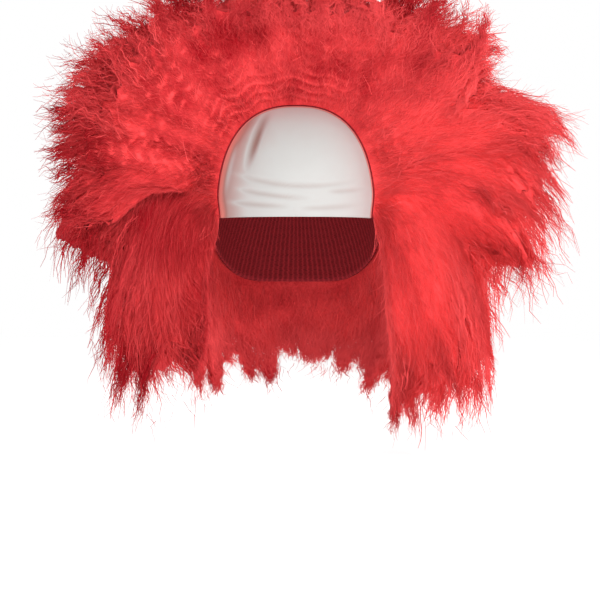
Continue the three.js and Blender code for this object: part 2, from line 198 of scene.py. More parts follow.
def head_surface(directions):
    """Points and normals of the head space along directions from its middle."""
    height = np.where(directions[..., 2] > 0, CROWN_HEIGHT, NECK_DEPTH)
    half = stack(HEAD_WIDTH / 2, HEAD_LENGTH / 2, height)
    share = np.abs(directions) / half
    reach = (share**HEAD_FULLNESS).sum(axis=-1, keepdims=True) ** (-1 / HEAD_FULLNESS)
    normals = unit(np.sign(directions) * share ** (HEAD_FULLNESS - 1) / half)
    return directions * reach + HEAD_MIDDLE, normals


def head_point(directions, offset):
    """Points that far off the head space, along directions from its middle."""
    points, normals = head_surface(directions)
    return points + normals * np.asarray(offset)[..., None]


panel_temple = head_point(
    np.array((math.sin(PANEL_SIDE_ANGLE), -math.cos(PANEL_SIDE_ANGLE), 0.0)), 0.0
)
panel_peak = head_point(
    np.array((0.0, -math.cos(PANEL_TOP_ANGLE), math.sin(PANEL_TOP_ANGLE))), 0.0
)
PANEL_HALF_WIDTH = panel_temple[0]
PANEL_HEIGHT = panel_peak[2] + CROWN_HEIGHT


def front_direction(x, z):
    """Direction of the place on the bald front that is seen at x and z from the front."""
    side = np.abs(x) / (HEAD_WIDTH / 2)
    rest = np.maximum(1 - side**HEAD_FULLNESS - (z / CROWN_HEIGHT) ** HEAD_FULLNESS, 0)
    return unit(stack(x, -HEAD_LENGTH / 2 * rest ** (1 / HEAD_FULLNESS), z))


def seam_place(angle):
    """Place on the arched seam seen from the front, at radians from its top."""
    across = np.sin(angle)
    up = np.maximum(np.cos(angle), 0)
    total = (np.abs(across) / PANEL_HALF_WIDTH) ** SEAM_FULLNESS
    total = total + (up / PANEL_HEIGHT) ** SEAM_FULLNESS
    reach = total ** (-1 / SEAM_FULLNESS)
    late = smoothstep(np.abs(angle), math.radians(70), math.radians(90))
    tuck = 1 - SEAM_TUCK / PANEL_HALF_WIDTH * late
    return across * reach * tuck, up * reach


def fold_depth(x, z):
    """How deep the folds lie at a place on the bald front."""
    depth = np.zeros_like(x)
    for x0, z0, x1, z1, bow, deep, broad in FOLDS:
        start = np.array((x0 * PANEL_HALF_WIDTH, z0 * PANEL_HEIGHT))
        way = np.array((x1 * PANEL_HALF_WIDTH, z1 * PANEL_HEIGHT)) - start
        share = ((x - start[0]) * way[0] + (z - start[1]) * way[1]) / (way @ way)
        aside = ((x - start[0]) * way[1] - (z - start[1]) * way[0]) / np.hypot(*way)
        away = (aside - bow * 4 * share * (1 - share)) / broad
        fading = smoothstep(share, 0, 0.3) * (1 - smoothstep(share, 0.55, 1))
        depth = depth + deep * fading * np.exp(-away * away)
    return depth


def grid_quads(rows, columns):
    """Corner numbers of the faces of a grid of points, row by row."""
    first = (np.arange(rows - 1)[:, None] * columns + np.arange(columns - 1)).ravel()
    return np.stack([first, first + 1, first + columns + 1, first + columns], axis=-1)


def add_mesh(name, finish, points, quads, places=None, tones=None, flow=None):
    """A smooth-shaded object of four-sided faces, with its plan, its tones and its flow."""
    data = bpy.data.meshes.new(name)
    data.vertices.add(len(points))
    data.vertices.foreach_set("co", np.asarray(points, dtype=np.float32).ravel())
    data.loops.add(quads.size)
    data.loops.foreach_set("vertex_index", quads.astype(np.int32).ravel())
    data.polygons.add(len(quads))
    data.polygons.foreach_set("loop_start", np.arange(0, quads.size, 4, dtype=np.int32))
    if places is not None:
        plan = data.uv_layers.new(name="OFBake")
        plan.data.foreach_set("uv", places[quads.ravel()].astype(np.float32).ravel())
    if tones is not None:
        shades = data.attributes.new("tone", "FLOAT", "POINT")
        shades.data.foreach_set("value", np.asarray(tones, dtype=np.float32))
    if flow is not None:
        lie = data.attributes.new("flow", "FLOAT_VECTOR", "POINT")
        lie.data.foreach_set("vector", np.asarray(flow, dtype=np.float32).ravel())
    data.update(calc_edges=True)
    joined = bmesh.new()
    joined.from_mesh(data)
    bmesh.ops.remove_doubles(joined, verts=joined.verts, dist=1e-7)
    joined.to_mesh(data)
    joined.free()
    data.shade_smooth()
    data.materials.append(finish)
    piece = bpy.data.objects.new(name, data)
    bpy.context.collection.objects.link(piece)
    return piece


def add_tint(source, output, first, last, *between):
    """Colours a finish by an output, along a ramp of places and colours."""
    tint = add_node(source.id_data, "ValToRGB")
    stops = tint.color_ramp.elements
    for stop, (place, colour) in zip(stops, (first, last)):
        stop.position = place
        stop.color = colour
    for place, colour in between:
        stops.new(place).color = colour
    connect(source, output, tint, "Fac")
    connect(tint, "Color", source.id_data.nodes["Principled BSDF"], "Base Color")


def add_relief(source, output, strength, distance, invert=False):
    """Gives a finish a fine relief whose height is an output."""
    relief = add_node(source.id_data, "Bump", Strength=strength, Distance=distance)
    relief.invert = invert
    connect(source, output, relief, "Height")
    connect(relief, "Normal", source.id_data.nodes["Principled BSDF"], "Normal")


panel_angle = np.radians(np.linspace(-90, 90, PANEL_ANGLES))
seam_x, seam_z = seam_place(panel_angle)
# Rows close up towards the seam, where the cloth is turned under in a narrow raised edge
row_share = 1 - (1 - np.linspace(0, 1, PANEL_ROWS)) ** 1.25
panel_x = row_share[:, None] * seam_x
panel_z = row_share[:, None] * seam_z
panel_way = front_direction(panel_x, panel_z)
inset = fold_depth(panel_x, panel_z) * (1 - row_share[:, None] ** 6)
raised = SEAM_RAISE * smoothstep(row_share, 0.965, 0.98)[:, None]
outer_face = head_point(panel_way, PANEL_WALL + raised - inset)
inner_face = head_point(panel_way, -inset)
outwards = unit(outer_face[-1] - outer_face[-2])
middle = (outer_face[-1] + inner_face[-1]) / 2
half = (outer_face[-1] - inner_face[-1]) / 2
edge_rows = [
    middle + half * math.cos(turn) + outwards * SEAM_ROUNDING * math.sin(turn)
    for turn in np.linspace(0, math.pi, EDGE_TURNS + 2)[1:-1]
]
panel_points = np.concatenate([outer_face, np.stack(edge_rows), inner_face[::-1]])
panel_rows = len(panel_points)
panel_quads = grid_quads(panel_rows, PANEL_ANGLES)
# The cut brow hem joins the outer and the inner face at both ends of the rows
hem_quads = []
for end, flip in ((0, False), (PANEL_ANGLES - 1, True)):
    for row in range((panel_rows - 1) // 2):
        opposite = panel_rows - 1 - row
        quad = [
            row * PANEL_ANGLES + end,
            (row + 1) * PANEL_ANGLES + end,
            (opposite - 1) * PANEL_ANGLES + end,
            opposite * PANEL_ANGLES + end,
        ]
        hem_quads.append(quad[::-1] if flip else quad)
panel_quads = np.concatenate([panel_quads, np.array(hem_quads)])

# Tone 0.5 is plain cloth, 1 painted shade at the foot of a fold, and 0 painted red light from the
# hair: a thin line all round, and a broad band of painted shade and red light at the left
# Painted shade at the foot of each fold, the deeper the darker
shaded = np.clip(inset / 0.0030, 0, 1) * 0.62
# Painted red light from the hair: a broad band with shade at the left, a thin line all round
at_left = smoothstep(-np.sin(panel_angle), 0.15, 0.7)
left_painted_shade_and_red_light = 0.16 * smoothstep(row_share, 0.60, 0.92) + 0.30 * smoothstep(row_share, 0.88, 1.0)
painted_red_light = 0.48 * smoothstep(row_share, 0.982, 0.992)[:, None]
painted_red_light = np.maximum(painted_red_light, at_left * left_painted_shade_and_red_light[:, None])
outer_tone = np.clip(0.5 + shaded - painted_red_light * (1 - 0.85 * np.clip(shaded / 0.3, 0, 1)), 0, 1)
# The outer face takes its painted tones, the turned edge painted red light, the inside plain cloth
panel_tones = np.concatenate([
    outer_tone,
    np.full((EDGE_TURNS, PANEL_ANGLES), 0.1),
    np.full_like(outer_tone, 0.5),
]).ravel()

front_cloth = new_finish(
    "front_stretch_cloth",
    Roughness=0.52,
    Specular_IOR_Level=0.35,
    Sheen_Weight=0.15,
    Sheen_Roughness=0.5,
)
tree = front_cloth.node_tree
place = add_node(tree, "TexCoord")
mottle = add_node(tree, "TexNoise", Scale=38, Detail=5)
connect(place, "Object", mottle, "Vector")
soft_mottle = add_node(tree, "MapRange", To_Min=-0.035, To_Max=0.035)
connect(mottle, "Fac", soft_mottle, "Value")
cloth_tone = add_node(tree, "Attribute")
cloth_tone.attribute_name = "tone"
with_mottle = add_node(tree, "Math")
connect(cloth_tone, "Fac", with_mottle, 0)
connect(soft_mottle, "Result", with_mottle, 1)
ends = (0.0, CLOTH_PAINTED_RED_LIGHT), (1.0, CLOTH_SHADED)
add_tint(with_mottle, "Value", *ends, (0.25, CLOTH_PAINTED_SHADE_AND_RED_LIGHT), (0.5, CLOTH_WHITE))
knit = add_node(tree, "TexNoise", Scale=2600, Detail=2)
connect(place, "Object", knit, "Vector")
add_relief(knit, "Fac", 0.12, 0.0003)

forehead_front = add_mesh(
    "forehead_front", front_cloth, panel_points.reshape(-1, 3), panel_quads, tones=panel_tones
)
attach(forehead_front, "root")
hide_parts("forehead_panel")


# Cap: a stretch net that fits the head from the seam back to the nape. Wefts of hair are sewn
# on it in rows round the whorl, and a narrow elastic band is sewn along its rim.
CAP_WALL = 0.0016
NAPE_DROP = 0.056
EAR_ANGLE = math.radians(84)
NAPE_ANGLE = math.radians(160)
WHORL_ANGLE = math.radians(52)
WHORL = np.array((0.0, math.cos(WHORL_ANGLE), math.sin(WHORL_ANGLE)))
SIDE_COLUMNS = 28
CAP_COLUMNS = 168
CAP_ROWS = 52
WEFT_ROWS = 17
WEFT_HEIGHT = 0.0007
STITCH_HEIGHT = 0.0004
BAND_HEIGHT = 0.0006
THREAD_RED = (0.42, 0.030, 0.040, 1)
HOLE_RED = (0.12, 0.008, 0.012, 1)
# From the seam's top to the nape along one side: share of the side, where the hair is rooted,
# its roll and its pitch in degrees, and how far it lifts off the cap
EDGE = np.array([
    (0.0, 0, 0, 66, 0.9),
    (0.15, 28, 32, 66, 0.85),
    (0.3, 50, 63, 65, 0.7),
    (0.45, 66, 95, 65, 0.55),
    (0.6, 79, 127, 66, 0.36),
    (0.75, 90, 156, 71, 0.12),
    (0.8, 107, 157, 84, 0.1),
    (0.86, 126, 159, 98, 0.12),
    (0.92, 147, 163, 110, 0.16),
    (1.0, 180, 180, 120, 0.2),
])


def read_table(table, at):
    """Smooth cubic reading of a table whose first column is the place."""
    places, values = table[:, 0], table[:, 1:]
    at = np.clip(at, places[0], places[-1])
    last = len(places) - 1
    after = np.clip(np.searchsorted(places, at, side="right"), 1, last)
    before = after - 1
    start, end = places[before], places[after]
    first, final = before == 0, after == last
    prior = np.where(first, after, before - 1)
    later = np.where(final, before, after + 1)
    half = (end - start) / 2
    weight_prior = half / (start - places[prior])
    weight_later = half / (places[later] - end)
    share = (at - start) / (end - start)
    square, cube = share * share, share * share * share
    s_prior = -weight_prior * cube + 2 * weight_prior * square - weight_prior * share
    s_before = (1 + weight_prior) * cube + (-1.5 - 2 * weight_prior) * square
    s_before = s_before + (weight_prior - 0.5) * share + 1
    s_after = (-1 - weight_later) * cube + (1.5 + weight_later) * square + 0.5 * share
    s_later = weight_later * cube - weight_later * square
    return (
        s_prior[..., None] * values[prior]
        + s_before[..., None] * values[before]
        + s_after[..., None] * values[after]
        + s_later[..., None] * values[later]
    )


def swing(start, end, share):
    """Turns one direction towards another by a share of the angle between them."""
    share = np.asarray(share)[..., None]
    angle = np.arccos(np.clip((start * end).sum(axis=-1, keepdims=True), -1, 1))
    return unit(start * np.sin((1 - share) * angle) + end * np.sin(share * angle))


def rim_direction(angle):
    """Direction of the cap's rim, at radians round from the front."""
    level = head_point(stack(np.sin(angle), -np.cos(angle), 0.0), 0.0)
    drop = NAPE_DROP * smoothstep(angle, EAR_ANGLE, NAPE_ANGLE)
    return unit(stack(level[..., 0], level[..., 1], -drop))


temple_x = float(seam_place(np.array(math.pi / 2))[0])
temple_way = front_direction(np.array(temple_x), np.array(0.0))
TEMPLE_ANGLE = math.atan2(temple_way[0], -temple_way[1])


def edge_direction(root, side):
    """Direction from the head's middle to the cap's edge, root in degrees, side -1 or 1."""
    seam = front_direction(*seam_place(np.radians(np.clip(root, 0, 90))))
    share = np.clip((root - 90) / 90, 0, 1)
    rim = rim_direction(TEMPLE_ANGLE + (math.pi - TEMPLE_ANGLE) * share)
    direction = np.where((root <= 90)[..., None], seam, rim)
    return direction * stack(side, 1.0, 1.0)


def wrap_column(column):
    """The same column, counted from the seam's top to the nape, and negative at the left."""
    return np.mod(column + SIDE_COLUMNS, 2 * SIDE_COLUMNS) - SIDE_COLUMNS


def column_place(column):
    """Side and table row of a column."""
    wrapped = wrap_column(column)
    return np.where(wrapped < 0, -1.0, 1.0), read_table(EDGE, np.abs(wrapped) / SIDE_COLUMNS)


def root_direction(column, ring):
    """Direction of a place on the cap, from its edge (ring 0) to the whorl (ring 1)."""
    side, edge = column_place(column)
    return swing(edge_direction(edge[..., 0], side), WHORL, ring)


cap_column = np.linspace(-SIDE_COLUMNS, SIDE_COLUMNS, CAP_COLUMNS + 1)
cap_ring = np.linspace(0.004, 0.985, CAP_ROWS)
cap_way = root_direction(cap_column[None, :], cap_ring[:, None])
weft = 0.5 + 0.5 * np.cos(2 * math.pi * WEFT_ROWS * cap_ring)
weft_ridge = WEFT_HEIGHT * weft**4 * smoothstep(cap_ring, 0.05, 0.1)
band = BAND_HEIGHT * (1 - smoothstep(cap_ring, 0.04, 0.055))
cap_outer = head_point(cap_way, (CAP_WALL + weft_ridge + band)[:, None])
cap_inner = head_point(cap_way, (STITCH_HEIGHT * weft**6)[:, None])
cap_points = np.concatenate([cap_outer, cap_inner[::-1]])
cap_quads = grid_quads(len(cap_points), CAP_COLUMNS + 1)
lip = np.arange(CAP_COLUMNS)
last_row = (len(cap_points) - 1) * (CAP_COLUMNS + 1)
lip_quads = np.stack([last_row + lip, last_row + lip + 1, lip + 1, lip], axis=-1)
cap_quads = np.concatenate([cap_quads, lip_quads])
cap_u = np.broadcast_to(np.linspace(0, 1, CAP_COLUMNS + 1), cap_points.shape[:2])
cap_v = np.concatenate([np.linspace(0, 0.49, CAP_ROWS), np.linspace(0.51, 1, CAP_ROWS)])
cap_plan = np.stack([cap_u, np.broadcast_to(cap_v[:, None], cap_points.shape[:2])], axis=-1)

cap_net = new_finish("cap_stretch_net", Roughness=0.85, Specular_IOR_Level=0.2)
tree = cap_net.node_tree
plan = add_node(tree, "UVMap")
plan.uv_map = "OFBake"
spread = add_node(tree, "Mapping", Scale=(420, 260, 1))
connect(plan, "UV", spread, "Vector")
mesh_holes = add_node(tree, "TexVoronoi", Scale=1, Randomness=0.25)
mesh_holes.feature = "DISTANCE_TO_EDGE"
connect(spread, "Vector", mesh_holes, "Vector")
add_tint(mesh_holes, "Distance", (0.05, THREAD_RED), (0.35, HOLE_RED))
add_relief(mesh_holes, "Distance", 0.6, 0.0006, invert=True)

weft_net = add_mesh(
    "weft_net", cap_net, cap_points.reshape(-1, 3), cap_quads, cap_plan.reshape(-1, 2)
)
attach(weft_net, "root")
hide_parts("weft_cap")


# Hair: a very wide mass of crimped red fibre. Wefts fan out from the cap's edge and stand off
# the head in locks. Each piece is a felted body, with fine fibres lying on it and loose tufts
# of fibre at its outside.
HAIR_REACH = 0.225
BACK_REACH = 0.215
HAIR_MIDDLE = np.array((0.0, 0.0, -0.073))
# The hair stands off the cap by a gap and by the bed of its stitched wefts
GAP = 0.0003
FRONT_BED = 0.0009
BACK_BED = 0.0022
# Relief of the front face: the locks, the crimp, the wandering of the fibre, and the hair that
# overhangs the fall at the left
LOCK_BULGE = 0.0045
CRIMP_HEIGHT = 0.0018
WANDER_HEIGHT = 0.003
OVERHANG = 0.018
# Metres: a strand of the front face from root to tip, one crimp at the seam and one outside,
# the length over which it widens, and the wave and the stray of the loose ends
STRAND_LENGTH = 0.19
CRIMP_AT_SEAM = 0.010
CRIMP_OUTSIDE = 0.018
CRIMP_WIDENING = 0.05
END_WAVE = 0.0021
END_STRAY = 0.006
# Shares of a strand: where the hair between two locks and between two felted tufts ends, how
# unlike the locks are, how shaggy the felt is, and the longest end
NOTCH = 0.84
NOTCH_OF_FELT = 1.0
LOCK_SPREAD = 0.06
SHAG = 0.042
LONGEST = 1.075
# Tufts to a column and the rings that one takes
TUFT_TURNS = 1.1
TUFT_HEIGHT = 0.06
# How far behind the front face's fibres its felt starts, in rings, and how far the bodies
# reach into one another, in rings and in columns
FACE_DEPTH = 0.012
RING_OVERLAP = 0.03
COLUMN_OVERLAP = 0.25
# Cells of a felted body: to a column where it has a front face and where it has none, to all
# the rings, and along a strand on a side that stays hidden
FACE_CELLS = 7
OUTSIDE_CELLS = 5
RING_CELLS = 64
SIDE_CELLS = 12
# Shades that the plan of the fibres is split into
BUCKETS = 32
# Roll from straight up in degrees, and the reach there as a share of HAIR_REACH
OUTLINE = np.array([
    (-180, 0.85), (-166, 0.87), (-158, 0.93), (-150, 1.1), (-140, 1.14), (-130, 1.06),
    (-120, 0.93), (-110, 0.96), (-100, 1.05), (-90, 1.0), (-75, 1.03), (-60, 1.06),
    (-50, 1.05), (-40, 1.0), (-20, 0.9), (0, 0.87), (20, 0.9), (40, 0.98), (52, 1.05),
    (64, 0.97), (77, 1.13), (88, 1.06), (100, 1.1), (111, 1.1), (120, 0.97), (130, 1.05),
    (140, 1.19), (150, 1.14), (160, 0.93), (180, 0.85),
])
# Roll in degrees, and how much longer or shorter than the locks the loose ends are there
FRAY = np.array([
    (-180, 1.0), (-162, 1.0), (-157, 1.0), (-152, 0.84), (-148, 1.0), (-142, 0.99),
    (-136, 1.03), (-128, 1.01), (-120, 1.01), (-112, 1.08), (-104, 1.14), (-96, 1.02),
    (-84, 1.03), (-72, 1.01), (-64, 0.97), (-56, 1.01), (-51, 0.97), (-46, 1.03), (-40, 1.0),
    (0, 1.0), (36, 1.0), (45, 0.99), (53, 1.04), (60, 0.95), (66, 1.03), (72, 0.98),
    (78, 1.07), (85, 1.01), (92, 1.10), (98, 1.07), (106, 0.96), (112, 1.15), (117, 1.06),
    (124, 1.08), (136, 1.05), (142, 1.05), (148, 1.05), (155, 1.10), (161, 1.0), (180, 1.0),
])
# Rings of locks from the cap's edge (0) to the whorl (1), with the columns that a lock takes
RING_STARTS = np.array((0.0, 0.12, 0.25, 0.38, 0.52, 0.66, 0.82, 1.0))
RING_SPANS = np.array((2, 2, 2, 2, 2, 4, 8))
# Kinds of fibre: thickness, points along it, spread to the side, and size of its kinks
FIBRE_LYING = (0.00055, 4, 2.8, 0.0006)
FIBRE_LYING_AT_NAPE = (0.00055, 4, 0.9, 0.0006)
FIBRE_OF_TUFT = (0.00070, 10, 0.35, 0.0009)
FIBRE_OUTSIDE = (0.00085, 7, 0.4, 0.0012)
# Loose fibres: points along one, shortest, what the longest adds, width at the root, what the
# tip lacks of it, and size of the kinks
LOOSE_POINTS = 5
LOOSE_SHORTEST = 0.008
LOOSE_LONGER = 0.013
LOOSE_WIDTH = 0.0005
LOOSE_TAPER = 0.0003
LOOSE_KINK = 0.0004
# Hollows of the front face: column, length, half of each extent, depth, and painted shade in it
HOLLOWS = [
    (-2.6, 0.56, 2.2, 0.17, 0.006, 0.26),
    (3.0, 0.30, 1.2, 0.10, 0.003, 0.22),
    (5.7, 0.58, 0.9, 0.07, 0.003, 0.16),
    (-5.4, 0.86, 1.6, 0.10, 0.002, 0.10),
    (-11.0, 0.78, 1.6, 0.12, 0.003, 0.16),
    (-14.9, 0.93, 1.2, 0.10, 0.003, 0.12),
    (-16.2, 0.46, 1.4, 0.28, 0.014, 0.20),
    (-15.6, 0.70, 1.0, 0.16, 0.006, 0.18),
    (-19.0, 0.30, 2.2, 0.20, 0.008, 0.18),
    (-18.5, 0.80, 3.0, 0.25, 0.000, 0.08),
    (-21.5, 0.50, 1.6, 0.22, 0.004, 0.20),
    (14.3, 0.61, 0.7, 0.05, 0.005, 0.24),
    (20.5, 0.22, 1.8, 0.20, 0.003, 0.18),
    (22.8, 0.75, 1.6, 0.20, 0.003, 0.16),
]
# Name, node, first and last column, first and last ring, then how many fibres lie on the front
# face, end in its tufts, stand at the outside, and are loose
HAIR_PIECES = [
    ("front_locks", "front_hair", -14, 14, 0.0, 0.12, 12200, 4400, 1100, 1900),
    ("top_locks", "top_hair", -8, 8, 0.12, 0.52, 0, 0, 4000, 700),
    ("left_locks", "left_hair", -14, -8, 0.12, 0.52, 0, 0, 3000, 600),
    ("right_locks", "right_hair", 8, 14, 0.12, 0.52, 0, 0, 3000, 600),
    ("left_fall_locks", "left_fall_hair", -24, -14, 0.0, 0.52, 6500, 2800, 2500, 900),
    ("right_fall_locks", "right_fall_hair", 14, 24, 0.0, 0.52, 6500, 2800, 2500, 1400),
    ("nape_locks", "nape_hair", 24, 32, 0.0, 0.52, 2600, 2900, 1800, 700),
    ("back_locks", "back_hair", -28, 28, 0.52, 1.0, 0, 0, 5300, 900),
]


def guide_controls(column, ring):
    """Root, bend and tip of the hair that grows at a column and a ring."""
    side, edge = column_place(column)
    rooted = swing(edge_direction(edge[..., 0], side), WHORL, ring)
    bed = FRONT_BED + (BACK_BED - FRONT_BED) * smoothstep(rooted[..., 1], -0.3, 0.3)
    root = head_point(rooted, CAP_WALL + GAP + bed)
    roll, pitch = np.radians(edge[..., 1]), np.radians(edge[..., 2])
    start = stack(
        side * np.sin(pitch) * np.sin(roll), -np.cos(pitch), np.sin(pitch) * np.cos(roll)
    )
    leaning = swing(start, WHORL, ring)
    turn = np.degrees(np.arctan2(leaning[..., 0], leaning[..., 2]))
    outwards = HAIR_REACH * read_table(OUTLINE, turn)[..., 0]
    reach = outwards + (BACK_REACH - outwards) * smoothstep(leaning[..., 1], 0, 1)
    tip = leaning * reach[..., None] + HAIR_MIDDLE
    way = tip - root
    lift = edge[..., 3] + (0.8 - edge[..., 3]) * smoothstep(ring, 0, 0.4)
    lift = lift[..., None]
    normal = head_surface(rooted)[1]
    length = np.linalg.norm(way, axis=-1, keepdims=True)
    bend = root + 0.5 * (lift * length * normal + (1 - lift) * way)
    # The hair at the temples first goes out, then falls
    share = np.abs(wrap_column(column)) / SIDE_COLUMNS
    arch = 0.05 * smoothstep(share, 0.3, 0.52) * (1 - smoothstep(share, 0.55, 0.76))
    bend = bend + np.array((0.0, 0.0, 1.0)) * (arch * (1 - smoothstep(ring, 0.1, 0.4)))[..., None]
    return root, bend, tip


def along_guide(controls, length):
    """Points of the hair, from its root (length 0) to its tip (length 1)."""
    root, bend, tip = controls
    share = np.asarray(length)[..., None]
    return root * (1 - share) ** 2 + bend * 2 * share * (1 - share) + tip * share * share


def lock_middle(column, ring):
    """Middle column and ring of the lock that a place belongs to, with the lock's size."""
    row = np.clip(np.searchsorted(RING_STARTS, ring, side="right") - 1, 0, len(RING_SPANS) - 1)
    span = RING_SPANS[row]
    shift = np.where((row % 2 == 1) & (row > 2), span / 2, 0)
    middle = (np.floor((column - shift) / span) + 0.5) * span + shift
    height = RING_STARTS[row + 1] - RING_STARTS[row]
    return middle, RING_STARTS[row] + height / 2, span, height


def drift(x, y, kind):
    """Smooth wandering value between about -1 and 1."""
    return (
        np.sin(1.7 * x + 2.3 * kind + np.sin(0.9 * y + kind))
        + np.sin(1.3 * y - 0.8 * x + 4.1 * kind)
        + 0.6 * np.sin(2.9 * x + 1.1 * y + 1.7 * kind)
    ) / 2.2


def lock_length(column, ring, notch=NOTCH):
    """Length of the hair as a share: locks reach further than the hair between them."""
    middle, centre, span, height = lock_middle(column, ring)
    across = np.abs(column - middle) / (span / 2)
    over = np.abs(ring - centre) / (height / 2) * smoothstep(ring, 0.2, 0.4)
    inside = 1 - smoothstep(np.maximum(across, over), 0.1, 1.0)
    # The rows next to the front face reach out alike, so that no step shows between them
    kind = np.where(ring < RING_STARTS[3], RING_STARTS[1] / 2, centre)
    peak = 1.03 + LOCK_SPREAD * np.sin(wrap_column(middle) * 2.4 + kind * 17 + 1.3)
    return notch + (peak - notch) * inside


def fray(column, ring):
    """Share by which the loose ends at a place reach further than the locks."""
    tip = guide_controls(column, ring)[2] - HAIR_MIDDLE
    return np.interp(np.degrees(np.arctan2(tip[..., 0], tip[..., 2])), FRAY[:, 0], FRAY[:, 1])


def left_wefts(column, length):
    """How near a place is to one of the two strongly crimped wefts out at the left."""
    near = np.exp(-(((column + 6.5) / 1.2) ** 2)) + np.exp(-(((column + 10.2) / 1.5) ** 2))
    return near * smoothstep(length, 0.22, 0.36) * (1 - smoothstep(length, 0.84, 0.95))


def crimp(column, length):
    """Wave of the crimped wefts on the front face, and how strong it is there."""
    travel = length * STRAND_LENGTH
    closer = 1 / CRIMP_AT_SEAM - 1 / CRIMP_OUTSIDE
    turns = travel / CRIMP_OUTSIDE
    turns = turns + closer * CRIMP_WIDENING * (1 - np.exp(-travel / CRIMP_WIDENING))
    turns = turns + 0.20 * np.sin(math.pi * column + 1.3 * drift(column * 0.5, length * 5, 1.0))
    turns = turns + 0.38 * drift(column * 0.8, length * 3, 2.0)
    bands = np.sin(2 * math.pi * turns)
    # Further out the wefts lie out of step, so that the waves break up into patches
    broken = smoothstep(length, 0.22, 0.42)
    patches = np.sin(math.pi * column * 1.05 + 1.6 * drift(column * 0.4, length * 4, 13.0))
    wave = bands * (1 - broken) + 1.25 * bands * patches * broken
    upper = 1 - smoothstep(np.abs(wrap_column(column)) / SIDE_COLUMNS, 0.42, 0.54)
    left = 0.72 + 0.28 * np.tanh(-column / 3)
    strength = upper * left * (0.60 + 0.45 * drift(column * 0.6, length * 5, 3.0))
    # Strongest next to the seam and in two wefts out at the left
    at_seam = 1 - smoothstep(length, 0.2, 0.36)
    at_left = left_wefts(column, length)
    strength = np.maximum(strength * (0.45 + 0.55 * at_seam), 0.95 * at_left)
    strength = strength * smoothstep(length, 0.01, 0.07) * (1 - 0.7 * smoothstep(length, 0.8, 1.0))
    return wave, np.clip(strength, 0.04, 1)


def hollow(column, length):
    """Depth of the hollows of the front face, and the painted shade in them."""
    deep = np.zeros(np.broadcast(column, length).shape)
    dark = np.zeros_like(deep)
    for middle, out, broad, long, depth, shade in HOLLOWS:
        near = np.exp(-(((column - middle) / broad) ** 2) - ((length - out) / long) ** 2)
        deep = deep + depth * near
        dark = dark + shade * near
    return deep, dark


def tone(column, ring, length):
    """Lightness: painted light on crimp crests and the right, wandering shades, painted shade in
    hollows.
    """
    wave, strength = crimp(column, length)
    here = wrap_column(column)
    right = smoothstep(here, 4, 10) * (1 - smoothstep(here, 22, 27))
    # Painted light on crimp crests and on the right side, and painted shade between the crests
    painted_crimp_light = 1.5 * np.maximum(wave, 0) ** 2 - 0.45
    value = 0.56 + 0.40 * painted_crimp_light * strength + 0.24 * right
    value = value + 0.05 * np.exp(-(((here + 10.5) / 2.5) ** 2))
    value = value + (0.10 - 0.05 * right) * drift(column * 0.8, length * 6 + ring * 14, 7.0)
    value = value + (0.09 - 0.06 * right) * drift(column * 2.6, length * 17 + ring * 33, 8.0)
    value = value - (0.34 - 0.10 * right) * smoothstep(length, 0.80, 0.97)
    # Painted shade in the hollows of the front face
    return value - hollow(here, length)[1] * (1 - smoothstep(ring, 0.1, 0.3))


def tuft_of(column, ring):
    """The tuft that a fibre ends in: its middle, half its breadth, its reach, its own chances."""
    dense = np.linspace(-40, 40, 4001)
    count = TUFT_TURNS * dense + 0.4 * np.sin(1.7 * dense) + 0.12 * np.sin(4.3 * dense)
    # The first rows behind the front face end side by side with the tufts of the face
    row = np.maximum(np.floor((ring - 0.38) / 0.12) + 1, 0)
    cell = np.floor(np.interp(column, dense, count) + 0.37 * row)
    low = np.interp(cell - 0.37 * row, count, dense)
    high = np.interp(cell + 1 - 0.37 * row, count, dense)
    middle = (low + high) / 2
    storey = np.floor(ring / TUFT_HEIGHT + 0.61 * cell)
    centre = np.clip((storey + 0.5 - 0.61 * cell) * TUFT_HEIGHT, 0.004, 0.99)
    # Chances that all the fibres of a tuft share
    mixed = np.sin(cell * 12.9898 + row * 78.233)
    chances = [np.mod(mixed * 43758.5 * factor, 1) for factor in (1, 0.37, 0.11)]
    own = np.mod(np.sin(cell * 39.425 + storey * 11.135) * 24634.6, 1)
    reach = lock_length(middle, centre) * fray(middle, centre)
    reach = reach * (1.06 - 0.11 * chances[0] - 0.05 * own)
    return middle, centre, (high - low) / 2, np.minimum(reach, LONGEST), chances


def hair_place(column, ring, length, height, on_face, overhang):
    """Points of the hair, with the normal of its front face."""
    controls = guide_controls(column, ring)
    points = along_guide(controls, length)
    behind = along_guide(guide_controls(column, ring + 0.01), length)
    front = unit(points - behind)
    if on_face:
        wave, strength = crimp(column, length)
        middle = lock_middle(column, ring)[0]
        inside = np.cos(np.clip(np.abs(column - middle), 0, 1) * math.pi / 2) ** 2
        swell = np.sin(math.pi * np.clip(length, 0, 1))
        calm = 1 - 0.45 * smoothstep(wrap_column(column), 4, 9)
        relief = CRIMP_HEIGHT * wave * strength + LOCK_BULGE * inside * swell * calm
        relief = relief + WANDER_HEIGHT * drift(column * 1.3, length * 8, 4.0) * swell * calm
        relief = relief - hollow(wrap_column(column), length)[0]
        hang = smoothstep(-column, 8.5, 13.6) * smoothstep(length, 0.08, 0.3)
        relief = relief + overhang * hang * (1 - smoothstep(length, 0.75, 1.0))
        height = height + relief * (1 - smoothstep(ring, 0.03, 0.115))
    return points + front * np.asarray(height)[..., None], front


